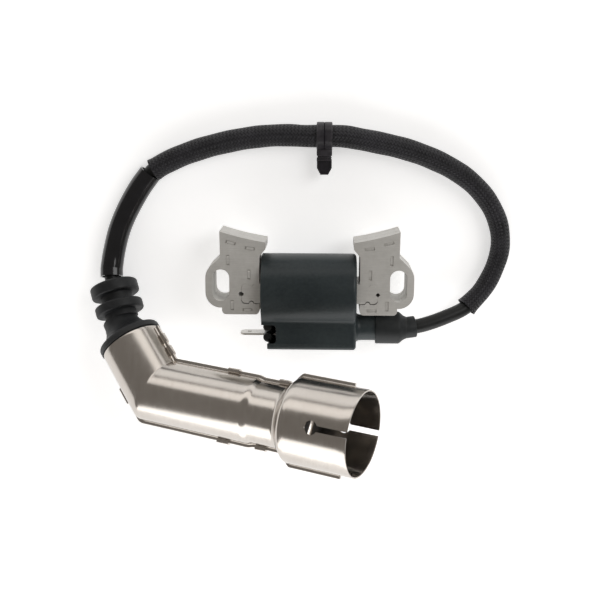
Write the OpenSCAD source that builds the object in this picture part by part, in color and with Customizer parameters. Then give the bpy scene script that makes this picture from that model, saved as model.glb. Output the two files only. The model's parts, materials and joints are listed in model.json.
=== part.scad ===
// Ignition coil of a small four-stroke engine: a laminated U core with a potted coil,
// a high-tension lead in its sleeves, and a shielded elbow cap for the spark plug.
// Origin: midway between the two mounting slots, on the laminations' seat face.
// +X runs from the stop terminal to the high-tension tower, +Y to the flywheel,
// +Z out of the seat face. The coil lies on a surface at z = -case_back.

/* [Core] */
// Thickness of the lamination stack
core_t = 16; // [12:0.5:20]
// Distance between the mounting slots
slot_pitch = 66; // [64:0.5:68]
// Width of a mounting slot
slot_w = 6.4; // [5.4:0.1:6.6]
// Length of a mounting slot, end to end
slot_l = 12; // [9:0.5:13]
// Metal left round a slot
ear_rim = 2.5; // [2:0.1:3]
// Radius of the pole faces, which follow the flywheel
pole_r = 108; // [104:1:116]
// Height of the bar through the coil, along Y
bar_h = 7.2; // [6.4:0.1:7.6]
// Middle of the bar along Y
bar_y = -3; // [-3.5:0.1:-2.5]

/* [Coil body] */
// Left end of the case
case_x0 = -18; // [-18.4:0.1:-17.4]
// Right end of the case
case_x1 = 17.5; // [16.8:0.1:17.8]
// Radius of the case round the windings
case_r = 13.8; // [13.5:0.1:14]
// How far the case stands below the seat face
case_back = 6; // [5.6:0.1:6.4]
// Lower edge of the electronics box
box_y0 = -24.5; // [-25:0.1:-24]
// Front of the electronics box
box_z1 = 17; // [16:0.1:17.5]
// Wall of the case
case_wall = 1.2; // [1:0.1:1.3]

/* [Tower and stop terminal] */
// Middle of the tower along Y
tower_y = -17.8; // [-18:0.1:-17.7]
// Middle of the tower along Z
tower_z = 6.5; // [6:0.1:7]
// Outer diameter of the tower
tower_d = 9.9; // [9.4:0.1:10.2]
// Outer diameter of the rubber boot
boot_d = 12.3; // [11.8:0.1:12.4]
// Width of the stop terminal
tab_w = 6.3; // [4.8:0.1:6.3]
// Thickness of the stop terminal
tab_t = 0.8; // [0.5:0.1:0.9]
// How far the stop terminal stands out
tab_out = 8.4; // [7:0.2:9]

/* [Lead] */
// Outer diameter of the lead
lead_d = 5.5; // [5:0.1:5.6]
// Diameter of the stranded conductor
wire_d = 1.5; // [1.2:0.1:1.6]
// Outer diameter of the braided sleeve
sleeve_d = 8.4; // [8:0.1:8.4]
// Outer diameter of the guard tube
guard_d = 8.8; // [8.4:0.1:8.9]

/* [Plug cap] */
// Outer diameter of the shield's tubes
tube_d = 23.7; // [23.2:0.1:24]
// Outer diameter of the shield's neck
neck_d = 22.6; // [22.2:0.1:22.9]
// Outer diameter of the shield's socket
socket_d = 30.8; // [30:0.1:31.2]
// Distance from the bend to the socket's mouth
mouth_x = 83.4; // [82:0.2:85]
// Distance from the bend to the collar end
collar_t = 21.7; // [21:0.1:22]
// Sheet thickness of the shield
sheet = 0.6; // [0.5:0.1:0.7]
// How far the seam flanges stand out
flange = 1.3; // [1.1:0.1:1.5]
// Width of the slits in the socket
slit_w = 2; // [1.6:0.1:2.4]
// Bore of the plug seal
seal_bore = 10.4; // [10:0.1:10.6]

/* [Hidden] */
$fn = 64;

steel_grey = [0.67, 0.66, 0.63];
case_black = [0.20, 0.23, 0.24];
rubber_black = [0.13, 0.14, 0.14];
nickel = [0.74, 0.71, 0.67];
brass_tone = [0.75, 0.60, 0.32];
copper_tone = [0.72, 0.42, 0.26];

eps = 0.01;
leg_x0 = 18.7;
leg_x1 = 32.6;
leg_tip_x0 = 16.4;
leg_tip_x1 = 33.3;
leg_y0 = -11;
leg_shoulder_y = 10.8;
pole_y_in = 16.2;
pole_cy = pole_y_in + sqrt(pow(pole_r, 2) - pow(leg_tip_x0, 2));
slot_x = slot_pitch / 2;
slot_r = slot_w / 2;
slot_half = slot_l / 2 - slot_r;
tongue_x1 = 25.3;
joint_gap = 0.12;

case_cz = 8;
bore_r = lead_d / 2 + 0.1;
tower_x1 = 31.7;
boot_x0 = 25;
boot_x1 = 34.2;
boot_x2 = 40.4;
grip_x = 36.7;
grip_turn = [0, 5.7, 7.3];

// The cap's own frame: x along the socket tube, the elbow in the xy plane, its collar
// leg at collar_dir from x.
bend_at = [-56.2, -39.1, 22.4];
cap_turn = [-14.5, -24.9, -3.1];
collar_dir = 134;
mitre = tan((180 - collar_dir) / 2);
tube_r = tube_d / 2;
neck_r = neck_d / 2;
socket_r = socket_d / 2;
collar_step = 0.06;
groove_x0 = 40.7;
neck_x0 = 42.9;
neck_x1 = 54.1;
shoulder_x = 58;
flange_x1 = 77.8;
flange_t1 = 20.6;
slit_x = 70.2;
insulator_x1 = 55.2;
insulator_t1 = 17.6;
tabs_up = [[28.3, 32.9], [49.3, 53.3]];
tabs_down = [[28.5, 33.3], [44.1, 48.4]];
tabs_inner_leg = [[7.4, 11.4], [13, 16.9]];
tabs_outer_leg = [[3.1, 9.8]];

// Grommet rings, in the cap's frame
ring_dir = 119;
ring_2 = [-23.4, 27.7];
ring_1 = [-27, 34.3];
lead_entry = [-29.1, 38.3, 0];
ring_r = 9.2;
ring_t1 = 3.8;
ring_t2 = 3.0;

function turn_x(a, p) = [p.x, p.y * cos(a) - p.z * sin(a), p.y * sin(a) + p.z * cos(a)];
function turn_y(a, p) = [p.x * cos(a) + p.z * sin(a), p.y, p.z * cos(a) - p.x * sin(a)];
function turn_z(a, p) = [p.x * cos(a) - p.y * sin(a), p.x * sin(a) + p.y * cos(a), p.z];
function from_cap(p) =
    bend_at + turn_z(cap_turn.z, turn_y(cap_turn.y, turn_x(cap_turn.x, p)));
function on_collar(t) = [t * cos(collar_dir), t * sin(collar_dir), 0];

// The lead's route: out of the tower, round on the surface, and up into the cap.
route = [
    [20, -17.8, 6.5], [30.6, -17.8, 6.5], [36.7, -17.8, 6.5], [43.6, -16.7, 5.8],
    [52, -14, 4.2], [60, -10.4, 2.2], [66.2, -3.9, 0.2], [70.4, 3.5, -1.2],
    [72.6, 12, -1.7], [71.6, 21, -1.7], [67.9, 29, -1.7], [62, 35.9, -1.7],
    [54.4, 41.5, -1.7], [45.6, 45.9, -1.7], [36, 49.2, -1.7], [26, 51.6, -1.6],
    [17.6, 53.2, -1.1], [11, 54.1, -0.6], [-1, 54.1, -0.6], [-9, 54.4, -1],
    [-18, 53.9, -1.5], [-28, 52.5, -1.7], [-38, 50.2, -1.7], [-47.4, 47.1, -1.7],
    [-55, 43.8, -1.6], [-59.9, 41, -1.5], [-61.1, 39.8, -1.5], [-65.6, 33.6, -1.5],
    [-70, 26.2, -1.5], [-73.6, 17.8, -1.5], [-76, 9.2, -1.2], [-76.8, 3.2, 0]
];
sleeve_from = 5;
sleeve_to = 25;
guard_from = 26;
guard_to = 31;
lead_path = concat(route, [
    from_cap(lead_entry), from_cap([ring_1.x, ring_1.y, 0]),
    from_cap([ring_2.x, ring_2.y, 0]), from_cap(on_collar(25)), from_cap(on_collar(9))
]);
clip_x = 5.1;
clip_y = 54.1;
clip_z = -0.6;
clip_w = 5.9;
clip_bore_r = sleeve_d / 2 + 0.05;
clip_r = clip_bore_r + 1.1;

function unit(v) = v / norm(v);
function along(path, i) = unit(path[min(i + 1, len(path) - 1)] - path[max(i - 1, 0)]);
function ring_at(path, i, r, sides) =
    let (t = along(path, i), across = unit(cross(t, [0, 0, 1])), up = cross(across, t))
    [for (k = [0 : sides - 1]) path[i] + r * (cos(360 * k / sides) * across
        + sin(360 * k / sides) * up)];
function piece_of(path, a, b) = [for (i = [a : b]) path[i]];
function wall_faces(start, rings, sides, flip) = [
    for (i = [0 : rings - 2]) for (k = [0 : sides - 1])
        let (a = start + i * sides + k, b = start + i * sides + (k + 1) % sides,
            c = b + sides, d = a + sides)
        for (f = flip ? [[a, b, c], [a, c, d]] : [[a, c, b], [a, d, c]]) f
];
function end_faces(a, b, sides, flip) = [
    for (k = [0 : sides - 1])
        let (n = (k + 1) % sides)
        for (f = flip ? [[a + k, b + n, a + n], [a + k, b + k, b + n]]
            : [[a + k, a + n, b + n], [a + k, b + n, b + k]]) f
];

// A round solid swept along a path
module rod_along(path, r, sides) {
    n = len(path);
    rings = [for (i = [0 : n - 1]) each ring_at(path, i, r, sides)];
    caps = [
        [for (k = [0 : sides - 1]) k],
        [for (k = [sides - 1 : -1 : 0]) (n - 1) * sides + k]
    ];
    polyhedron(rings, concat(wall_faces(0, n, sides, false), caps), convexity = 8);
}

// A hollow tube swept along a path
module tube_along(path, r_out, r_in, sides) {
    n = len(path);
    outer = [for (i = [0 : n - 1]) each ring_at(path, i, r_out, sides)];
    inner = [for (i = [0 : n - 1]) each ring_at(path, i, r_in, sides)];
    m = n * sides;
    last = (n - 1) * sides;
    polyhedron(concat(outer, inner), concat(
        wall_faces(0, n, sides, false), wall_faces(m, n, sides, true),
        end_faces(0, m, sides, false), end_faces(last, m + last, sides, true)
    ), convexity = 8);
}

// A cylinder that lies along X
module bar_x(x0, x1, r) {
    translate([x0, 0, 0]) rotate([0, 90, 0]) cylinder(h = x1 - x0, r = r);
}

// A shape drawn in the YZ plane and extruded along X
module along_x(x0, x1) {
    translate([x0, 0, 0]) rotate([90, 0, 90]) linear_extrude(x1 - x0) children();
}

// A rectangle with round corners, by its half sizes
module rounded(half_a, half_b, r) {
    square([2 * half_a, 2 * (half_b - r)], center = true);
    square([2 * (half_a - r), 2 * half_b], center = true);
    for (a = [-1, 1], b = [-1, 1]) translate([a * (half_a - r), b * (half_b - r)]) circle(r);
}

// ---- Core ----

// The joint between bar and leg: a tongue with a notch in each side
module tongue(grow) {
    notch_x = 21.6;
    notch_r = 1.0;
    difference() {
        union() {
            translate([leg_x0 - 4, bar_y - bar_h / 2 - grow])
                square([tongue_x1 - 1.4 - leg_x0 + 4, bar_h + 2 * grow]);
            translate([tongue_x1 - 2, bar_y - bar_h / 2 + 1.4])
                square([2 + grow, bar_h - 2.8]);
            for (side = [-1, 1])
                translate([tongue_x1 - 1.4, bar_y + side * (bar_h / 2 - 1.4)])
                    circle(1.4 + grow);
        }
        for (side = [-1, 1])
            translate([notch_x, bar_y + side * (bar_h / 2 + 0.1)]) circle(notch_r - grow);
    }
}

module leg_outline() {
    shoulder_r = 2.2;
    ear_r = slot_r + ear_rim;
    corner = 1.5;
    ear_top_y = 10.6;
    difference() {
        union() {
            polygon([
                [leg_x0, leg_y0 + corner], [leg_x0 + corner, leg_y0],
                [leg_x1 - corner, leg_y0], [leg_x1, leg_y0 + corner],
                [leg_x1 + 0.2, -2], [slot_x + 2, 0],
                [slot_x + ear_r * cos(50), slot_half + ear_r * sin(50)],
                [leg_x1 + 0.5, ear_top_y],
                [leg_tip_x1, pole_y_in + 6], [leg_tip_x0, pole_y_in + 6],
                [leg_tip_x0, leg_shoulder_y + shoulder_r + 0.6],
                [leg_x0, leg_shoulder_y]
            ]);
            translate([leg_x0 + corner, leg_y0 + corner]) circle(corner);
            translate([leg_x1 - corner, leg_y0 + corner]) circle(corner);
            for (y = [-slot_half, slot_half]) translate([slot_x, y]) circle(ear_r);
            translate([slot_x, -slot_half]) square([ear_r, 2 * slot_half]);
        }
        translate([0, pole_cy]) circle(pole_r, $fn = 180);
        for (y = [-slot_half, slot_half]) translate([slot_x, y]) circle(slot_r);
        translate([slot_x, 0]) square([slot_w, 2 * slot_half], center = true);
        tongue(joint_gap);
        translate([tongue_x1 + 0.1, bar_y - 0.4]) circle(0.85);
    }
}

module core_leg(side) {
    color(steel_grey) mirror([side < 0 ? 1 : 0, 0, 0])
        linear_extrude(core_t) leg_outline();
}
module core_leg_left() { core_leg(-1); }
module core_leg_right() { core_leg(1); }

module core_bar() {
    color(steel_grey) linear_extrude(core_t) {
        square_w = 2 * leg_x0 - 2;
        translate([-square_w / 2, bar_y - bar_h / 2]) square([square_w, bar_h]);
        tongue(0);
        mirror([1, 0]) tongue(0);
    }
}

// ---- Windings ----

wind_x0 = -14.4;
wind_x1 = 15.6;
flange_w = 1;
layer = [0.6, 1.5, 2.1, 3.3];

// A tube round the bar, from one layer's surface to the next
module around_bar(x0, x1, inner, outer) {
    translate([0, bar_y, core_t / 2]) along_x(x0, x1) difference() {
        rounded(bar_h / 2 + outer, core_t / 2 + outer, outer);
        if (inner == 0) square([bar_h, core_t], center = true);
        else rounded(bar_h / 2 + inner, core_t / 2 + inner, inner);
    }
}

module primary_bobbin() {
    color("ivory") {
        around_bar(wind_x0, wind_x1, 0, layer[0]);
        around_bar(wind_x0, wind_x0 + flange_w, 0, layer[1]);
        around_bar(wind_x1 - flange_w, wind_x1, 0, layer[1]);
    }
}

module primary_winding() {
    color(copper_tone)
        around_bar(wind_x0 + flange_w, wind_x1 - flange_w, layer[0], layer[1]);
}

winding_slots = 5;
rib_w = 0.9;
slot_step = (wind_x1 - wind_x0 - rib_w) / winding_slots;

module secondary_bobbin() {
    color("antiquewhite") {
        around_bar(wind_x0, wind_x1, layer[1], layer[2]);
        for (i = [0 : winding_slots]) {
            x = wind_x0 + i * slot_step;
            around_bar(x, x + rib_w, layer[2] - 0.2, layer[3]);
        }
    }
}

module secondary_winding() {
    color(copper_tone) for (i = [0 : winding_slots - 1]) {
        x = wind_x0 + i * slot_step;
        around_bar(x + rib_w, x + slot_step, layer[2], layer[3]);
    }
}

// ---- Case and electronics ----

module case_section(inset) {
    corner = max(1.5 - inset, 0.4);
    back_corner = 3;
    z0 = -case_back + inset;
    y0 = box_y0 + inset;
    z1 = box_z1 - inset;
    translate([bar_y, case_cz]) circle(case_r - inset, $fn = 96);
    difference() {
        union() {
            translate([y0, z0 + corner]) square([10, z1 - z0 - 2 * corner]);
            translate([y0 + corner, z0]) square([9, z1 - z0]);
            for (z = [z0 + corner, z1 - corner]) translate([y0 + corner, z]) circle(corner);
            translate([y0 + 8, z0]) square([7.5 - inset - back_corner - y0 - 8, 12]);
            translate([y0 + 8, z0 + back_corner])
                square([7.5 - inset - y0 - 8, 12 - back_corner]);
            translate([7.5 - inset - back_corner, z0 + back_corner]) circle(back_corner);
        }
        translate([bar_y, case_cz - 2]) square([30, 30]);
    }
}

module coil_case() {
    notch_x1 = -12.5;
    color(case_black) difference() {
        union() {
            along_x(case_x0, case_x1) case_section(0);
            translate([0, tower_y, tower_z]) bar_x(case_x1 - 2, tower_x1, tower_d / 2);
        }
        along_x(case_x0 - 1, case_x1 - case_wall) case_section(case_wall);
        translate([0, bar_y, core_t / 2])
            along_x(case_x0 - 1, case_x1 + 1) square([bar_h, core_t], center = true);
        translate([0, tower_y, tower_z]) bar_x(19.5, tower_x1 + 1, bore_r);
        translate([0, tower_y, tower_z]) bar_x(case_x1 - 2, 20, 0.8);
        translate([case_x0 - 1, -22.1, 11]) cube([notch_x1 - case_x0 + 1, 7.2, 10]);
        translate([case_x0 - 1, box_y0 - 1, -case_back - 1])
            cube([3.2, 1 + 8.9, case_back + box_z1 + 2]);
    }
}

module potting_fill() {
    plate_x0 = -15.6;
    color([0.12, 0.13, 0.13]) difference() {
        along_x(plate_x0, wind_x0) intersection() {
            case_section(case_wall);
            translate([-23.2, -4.8]) square([41, 15.6]);
        }
        translate([0, bar_y, core_t / 2])
            along_x(plate_x0 - 1, wind_x0 + 1) square([bar_h, core_t + 8], center = true);
        translate([plate_x0 - 1, tab_y - tab_t / 2, tab_z - tab_w / 2])
            cube([4, tab_t, tab_w]);
        translate([plate_x0 - 1, -13.2, 3.5]) cube([4, 7, 5]);
    }
}

board_z = 11.4;
board_y0 = -22.8;
board_y1 = -12.9;
board_x0 = -11.5;
board_x1 = 11;
board_t = 1;
tab_y = -20.2;
tab_z = 6.2;

module circuit_board() {
    color("darkgreen") translate([board_x0, board_y0, board_z])
        cube([board_x1 - board_x0, board_y1 - board_y0, board_t]);
}

module switch_transistor() {
    color([0.15, 0.15, 0.16]) translate([2, -21.8, board_z - 4.6]) {
        cube([8, 6.6, 4.6]);
        for (x = [1.4, 4, 6.6]) translate([x - 0.4, 6.6, 1.8]) cube([0.8, 1.2, 2.8]);
    }
}

module board_components() {
    color("tan") {
        for (x = [-9.5, -5.5]) translate([x, -18.6, board_z - 2.6]) cube([2.6, 4.6, 2.6]);
        translate([-2, -19.8, board_z - 1.4]) cube([3, 1.6, 1.4]);
        translate([-2, -16.2, board_z - 1.4]) cube([3, 1.6, 1.4]);
        translate([-7, -16.6, board_z + board_t]) cube([5, 2.4, 1.2]);
    }
}

module stop_terminal() {
    tip = 1.6;
    x0 = case_x0 - tab_out;
    x1 = -11;
    color([0.78, 0.78, 0.76]) difference() {
        translate([0, tab_y + tab_t / 2, tab_z]) rotate([90, 0, 0]) linear_extrude(tab_t) {
            polygon([
                [x0, -tab_w / 2 + tip], [x0 + tip, -tab_w / 2], [x1, -tab_w / 2],
                [x1, board_z - tab_z - eps], [x1 - 1.2, board_z - tab_z - eps],
                [x1 - 1.2, tab_w / 2], [x0 + tip, tab_w / 2], [x0, tab_w / 2 - tip]
            ]);
        }
        translate([x0 + 3.4, tab_y + tab_t, tab_z]) rotate([90, 0, 0])
            cylinder(h = 2 * tab_t, r = 0.9);
    }
}

module ht_output_pin() {
    color(brass_tone) translate([0, tower_y, tower_z]) {
        bar_x(14.5, 25, 0.7);
        translate([25, 0, 0]) rotate([0, 90, 0]) cylinder(h = 2, r1 = 0.7, r2 = 0.1);
        bar_x(14, 14.6, 2);
    }
}

module ground_strap() {
    color(copper_tone) along_x(-15.4, -14.9) polygon([
        [-12.9, 4], [bar_y - bar_h / 2 - 0.02, 4], [bar_y - bar_h / 2 - 0.02, 8],
        [-11.4, 8], [-11.4, 8.2], [-12.9, 8.2]
    ]);
}

module tower_boot() {
    grip_r = 4.1;
    color(rubber_black) difference() {
        union() {
            translate([0, tower_y, tower_z]) {
                bar_x(boot_x0, boot_x1, boot_d / 2);
                translate([boot_x1, 0, 0]) rotate([0, 90, 0])
                    cylinder(h = 2, r1 = boot_d / 2, r2 = grip_r + 0.8);
            }
            translate([grip_x, tower_y, tower_z]) rotate(grip_turn)
                bar_x(-2.4, boot_x2 - grip_x, grip_r);
        }
        translate([0, tower_y, tower_z]) {
            bar_x(boot_x0 - 1, tower_x1, tower_d / 2);
            bar_x(tower_x1 - 1, grip_x + 0.3, bore_r);
        }
        translate([grip_x, tower_y, tower_z]) rotate(grip_turn) bar_x(-0.3, 9, bore_r);
    }
}

// ---- Lead ----

module lead_conductor() {
    inner = concat([[27.5, route[0].y, route[0].z]], piece_of(lead_path, 1, len(lead_path) - 2),
        [from_cap(on_collar(14))]);
    color(copper_tone) rod_along(inner, wire_d / 2, 8);
}

module lead_jacket() {
    color(rubber_black) tube_along(lead_path, lead_d / 2, wire_d / 2 + 0.1, 10);
}

module heat_sleeve() {
    color([0.16, 0.16, 0.17])
        tube_along(piece_of(lead_path, sleeve_from, sleeve_to), sleeve_d / 2, 3.3, 12);
}

module guard_tube() {
    color([0.08, 0.08, 0.09])
        tube_along(piece_of(lead_path, guard_from, guard_to), guard_d / 2, 3.3, 12);
}

module cable_clip() {
    head_y = 7.4;
    strap_y = 12;
    tip_y = 14.6;
    tip_w = 3;
    color([0.10, 0.10, 0.11]) translate([clip_x, clip_y, clip_z]) difference() {
        union() {
            bar_x(-clip_w / 2, clip_w / 2, clip_r);
            translate([-clip_w / 2, -head_y, -2.6]) cube([clip_w, head_y, 4.8]);
            translate([0, 0, -0.8]) linear_extrude(1.5) polygon([
                [-clip_w / 2, -head_y + 1], [clip_w / 2, -head_y + 1],
                [clip_w / 2, -strap_y], [tip_w / 2, -tip_y],
                [-tip_w / 2, -tip_y], [-clip_w / 2, -strap_y]
            ]);
        }
        bar_x(-clip_w, clip_w, clip_bore_r);
    }
}

// ---- Plug cap ----

module in_cap_frame() {
    translate(bend_at) rotate(cap_turn) children();
}

// Places children on the collar leg, with their x axis along it
module on_collar_leg() {
    rotate([0, 0, collar_dir]) children();
}

// Joins its first child, along x, to its second, on the collar leg, at the bend's mitre
module mitred(r) {
    difference() {
        children(0);
        rotate([0, 0, collar_dir / 2]) translate([-4 * r, 0, -2 * r])
            cube([8 * r, 4 * r, 4 * r]);
    }
    difference() {
        on_collar_leg() children(1);
        rotate([0, 0, collar_dir / 2]) translate([-4 * r, -4 * r, -2 * r])
            cube([8 * r, 4 * r, 4 * r]);
    }
}

// A round body along the elbow. Its collar leg is slimmer by collar_step, so that the two
// legs meet in a clean edge.
module elbow(r, x1, t1) {
    overlap = r * mitre + 1;
    mitred(r) {
        bar_x(-overlap, x1, r);
        bar_x(-overlap, t1, r - collar_step);
    }
}

// The shield's outer form grown by grow: the stepped socket tube and the collar leg
module cap_form(grow, x1, t1) {
    r = tube_r + grow;
    overlap = r * mitre + 1;
    mitred(r) {
        rotate([90, 90, 90]) rotate_extrude($fn = 96) polygon([
            [0, -overlap], [r, -overlap], [r, groove_x0],
            [neck_r + grow, neck_x0], [neck_r + grow, neck_x1],
            [socket_r + grow, shoulder_x], [socket_r + grow, x1], [0, x1]
        ]);
        bar_x(-overlap, t1, r - collar_step);
    }
}

// The elbow's outline in the bend plane, widened by grow
function elbow_outline(grow, x1, t1) = let (
    a = tube_r + grow, b = neck_r + grow, c = socket_r + grow,
    n = [sin(collar_dir), -cos(collar_dir)], e = [cos(collar_dir), sin(collar_dir)]
) [
    t1 * e + a * n, [a * mitre, a], [groove_x0, a], [neck_x0, b], [neck_x1, b],
    [shoulder_x, c], [x1, c], [x1, -c], [shoulder_x, -c], [neck_x1, -b], [neck_x0, -b],
    [groove_x0, -a], [-a * mitre, -a], t1 * e - a * n
];

// One half of the shield, on the +z side of the bend plane, with its seam flange
module shield_half() {
    intersection() {
        difference() {
            union() {
                cap_form(0, mouth_x, collar_t);
                translate([0, 0, -sheet]) linear_extrude(2 * sheet)
                    polygon(elbow_outline(flange, flange_x1, flange_t1));
            }
            cap_form(-sheet, mouth_x + 1, collar_t + 1);
            translate([slit_x, 0, -20]) cylinder(h = 40, r = 2.4);
            translate([slit_x, -slit_w / 2, -20]) cube([20, slit_w, 40]);
        }
        translate([-60, -60, 0]) cube([160, 120, 40]);
    }
}

// A tab of the back half, along x, bent up round the flanges' edge and over the front one
module fold_tab(x0, x1, edge) {
    lap = 0.55;
    root = 0.4;
    drop = 0.1;
    gap = 0.03;
    translate([x0, edge - root, -sheet - drop]) cube([x1 - x0, root + lap, sheet]);
    translate([x0, edge + gap, -root]) cube([x1 - x0, lap - gap, root + sheet + lap]);
    translate([x0, edge - flange + 0.2, sheet]) cube([x1 - x0, flange, lap]);
}

module shield_front() {
    color(nickel) in_cap_frame() shield_half();
}

module shield_back() {
    edge = tube_r + flange;
    color(nickel) in_cap_frame() {
        mirror([0, 0, 1]) shield_half();
        fold_tab(tabs_up[0][0], tabs_up[0][1], edge);
        fold_tab(tabs_up[1][0], tabs_up[1][1], neck_r + flange);
        mirror([0, 1, 0]) {
            fold_tab(tabs_down[0][0], tabs_down[0][1], edge);
            fold_tab(tabs_down[1][0], tabs_down[1][1], neck_r + flange);
        }
        for (tab = tabs_inner_leg) on_collar_leg() mirror([0, 1, 0])
            fold_tab(tab[0], tab[1], edge);
        for (tab = tabs_outer_leg) on_collar_leg() fold_tab(tab[0], tab[1], edge);
    }
}

fit_gap = 0.05;
cavity_r = 3.2;
terminal_r = 4.5;

module cap_insulator() {
    body_r = tube_r - sheet - fit_gap;
    nose_r = neck_r - sheet - fit_gap;
    color([0.16, 0.14, 0.13]) in_cap_frame() difference() {
        union() {
            elbow(body_r, groove_x0 - 0.5, insulator_t1);
            bar_x(groove_x0 - 1, insulator_x1, nose_r);
        }
        bar_x(-2, 30, cavity_r);
        bar_x(29, 46, terminal_r);
        bar_x(45.9, insulator_x1 + 1, 7.6);
        on_collar_leg() bar_x(8.5, insulator_t1 + 1, bore_r + 0.1);
        on_collar_leg() bar_x(0, 9, 2.4);
    }
}

module cord_screw() {
    color(brass_tone) in_cap_frame() on_collar_leg() {
        bar_x(1.2, 8.2, 2.3);
        bar_x(8, 12, 0.62);
        translate([12, 0, 0]) rotate([0, 90, 0]) cylinder(h = 1.4, r1 = 0.62, r2 = 0.05);
    }
}

module contact_spring() {
    color([0.75, 0.75, 0.73]) in_cap_frame() difference() {
        bar_x(0.85, 6, 2.1);
        bar_x(0, 7, 1.5);
    }
}

module suppressor_resistor() {
    color([0.86, 0.83, 0.75]) in_cap_frame() {
        bar_x(7, 27, 2.8);
        bar_x(6, 7.2, 3.1);
        bar_x(26.8, 28, 3.1);
    }
}

module plug_terminal() {
    color(brass_tone) in_cap_frame() difference() {
        union() {
            bar_x(28, 30, 3.1);
            bar_x(29.5, 44.5, terminal_r - fit_gap);
        }
        bar_x(33, 50, 3.3);
        rotate([90, 0, 90]) translate([0, 0, 38.4]) rotate_extrude()
            translate([terminal_r, 0]) square([1.6, 1.4], center = true);
    }
}

module terminal_clip() {
    color([0.72, 0.72, 0.72]) in_cap_frame() rotate([90, 0, 90]) translate([0, 0, 38.4])
        rotate_extrude() translate([terminal_r - 0.35, 0]) circle(0.3, $fn = 24);
}

module plug_seal() {
    color(rubber_black) in_cap_frame() difference() {
        union() {
            bar_x(46, insulator_x1 + 0.2, 7.55);
            bar_x(insulator_x1 + 0.1, insulator_x1 + 2.6, 9.4);
        }
        bar_x(45, 70, seal_bore / 2);
    }
}

// The rubber grommet: a spigot in the collar, a flange, a waist and two rings
module cap_grommet() {
    spigot_r = tube_r - collar_step - sheet - fit_gap;
    flange_x0 = collar_t + 0.3;
    flange_r = tube_r + 0.35;
    waist_r = 6.3;
    waist_x1 = 33;
    ring_bore_r = 3.4;
    bore_from = on_collar(25);
    bore_run = lead_entry - bore_from;
    color(rubber_black) in_cap_frame() difference() {
        union() {
            on_collar_leg() rotate([90, 0, 90]) rotate_extrude($fn = 96) polygon([
                [0, insulator_t1 + 0.3], [spigot_r, insulator_t1 + 0.3],
                [spigot_r, flange_x0], [flange_r, flange_x0],
                [flange_r, flange_x0 + 1.6], [flange_r - 0.7, flange_x0 + 2.4],
                [8.6, flange_x0 + 4], [7.1, flange_x0 + 5.8], [waist_r, flange_x0 + 8],
                [waist_r, waist_x1], [0, waist_x1]
            ]);
            for (ring = [[ring_1, ring_t1], [ring_2, ring_t2]])
                translate([ring[0].x, ring[0].y, 0]) rotate([0, 0, ring_dir])
                    bar_x(-ring[1] / 2, ring[1] / 2, ring_r);
            translate([ring_2.x, ring_2.y, 0]) rotate([0, 0, ring_dir])
                bar_x(-3.6, 7, 6);
        }
        on_collar_leg() bar_x(10, 25, bore_r);
        translate([bore_from.x, bore_from.y, 0])
            rotate([0, 0, atan2(bore_run.y, bore_run.x)]) bar_x(-1, norm(bore_run), ring_bore_r);
    }
}

core_leg_left();
core_leg_right();
core_bar();
primary_bobbin();
primary_winding();
secondary_bobbin();
secondary_winding();
coil_case();
potting_fill();
circuit_board();
switch_transistor();
board_components();
stop_terminal();
ht_output_pin();
ground_strap();
tower_boot();
lead_conductor();
lead_jacket();
heat_sleeve();
guard_tube();
cable_clip();
cap_grommet();
shield_front();
shield_back();
cap_insulator();
cord_screw();
suppressor_resistor();
contact_spring();
plug_terminal();
terminal_clip();
plug_seal();
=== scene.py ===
# %% [markdown]
# # A small engine's ignition coil
# The coil is a laminated iron core with a potted coil on its bar, a thick lead in a braided sleeve, and a
# bent metal cap that goes over the spark plug. The frame is the finished design: every piece below is made
# in the frame's own millimetres, so nothing has to be fitted afterwards.

# %% Load the frame
import json
import math

import bmesh
import bpy
from mathutils import Matrix, Vector


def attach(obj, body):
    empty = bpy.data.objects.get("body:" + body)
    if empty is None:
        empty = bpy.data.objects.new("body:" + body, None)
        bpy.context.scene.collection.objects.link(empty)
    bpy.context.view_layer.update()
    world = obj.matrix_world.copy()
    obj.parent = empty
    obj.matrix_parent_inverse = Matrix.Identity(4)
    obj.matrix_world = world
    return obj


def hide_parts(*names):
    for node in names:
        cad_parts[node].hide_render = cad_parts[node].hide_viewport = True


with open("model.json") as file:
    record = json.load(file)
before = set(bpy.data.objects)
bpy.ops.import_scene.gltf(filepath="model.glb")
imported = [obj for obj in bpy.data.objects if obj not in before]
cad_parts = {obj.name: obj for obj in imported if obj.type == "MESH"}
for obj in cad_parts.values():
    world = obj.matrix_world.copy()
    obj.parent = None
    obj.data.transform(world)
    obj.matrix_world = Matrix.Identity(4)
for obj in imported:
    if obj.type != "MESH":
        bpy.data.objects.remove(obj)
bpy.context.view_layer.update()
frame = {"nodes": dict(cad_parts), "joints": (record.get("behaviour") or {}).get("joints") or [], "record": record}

MM = 0.001

# %% [markdown]
# ## Camera
# The coil lies on a table and is seen from almost straight above. A long lens 0.4 m up keeps the far and
# near edges of the parts close together. The camera comes first: the lead is judged by what it sees.

# %% Camera
camera_data = bpy.data.cameras.new("camera")
camera_data.sensor_width = 36
camera_data.lens = 63.9
camera = bpy.data.objects.new("camera", camera_data)
camera.location = (0.00677, 0.07642, 0.40345)
camera.rotation_euler = [math.radians(a) for a in (-11.908, 1.553, 0.165)]
bpy.context.scene.collection.objects.link(camera)
bpy.context.scene.camera = camera
print("camera at", [round(c, 4) for c in camera.location])

# %% [markdown]
# ## Mesh helpers
# Most pieces here are rings of points joined into a skin, which a modeller knows as a loft. A Shape collects
# the skins of one piece, and piece() turns it into a mesh object that rides on its body. Points are in
# millimetres and become metres at the very end, so the numbers read like a drawing.

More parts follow.
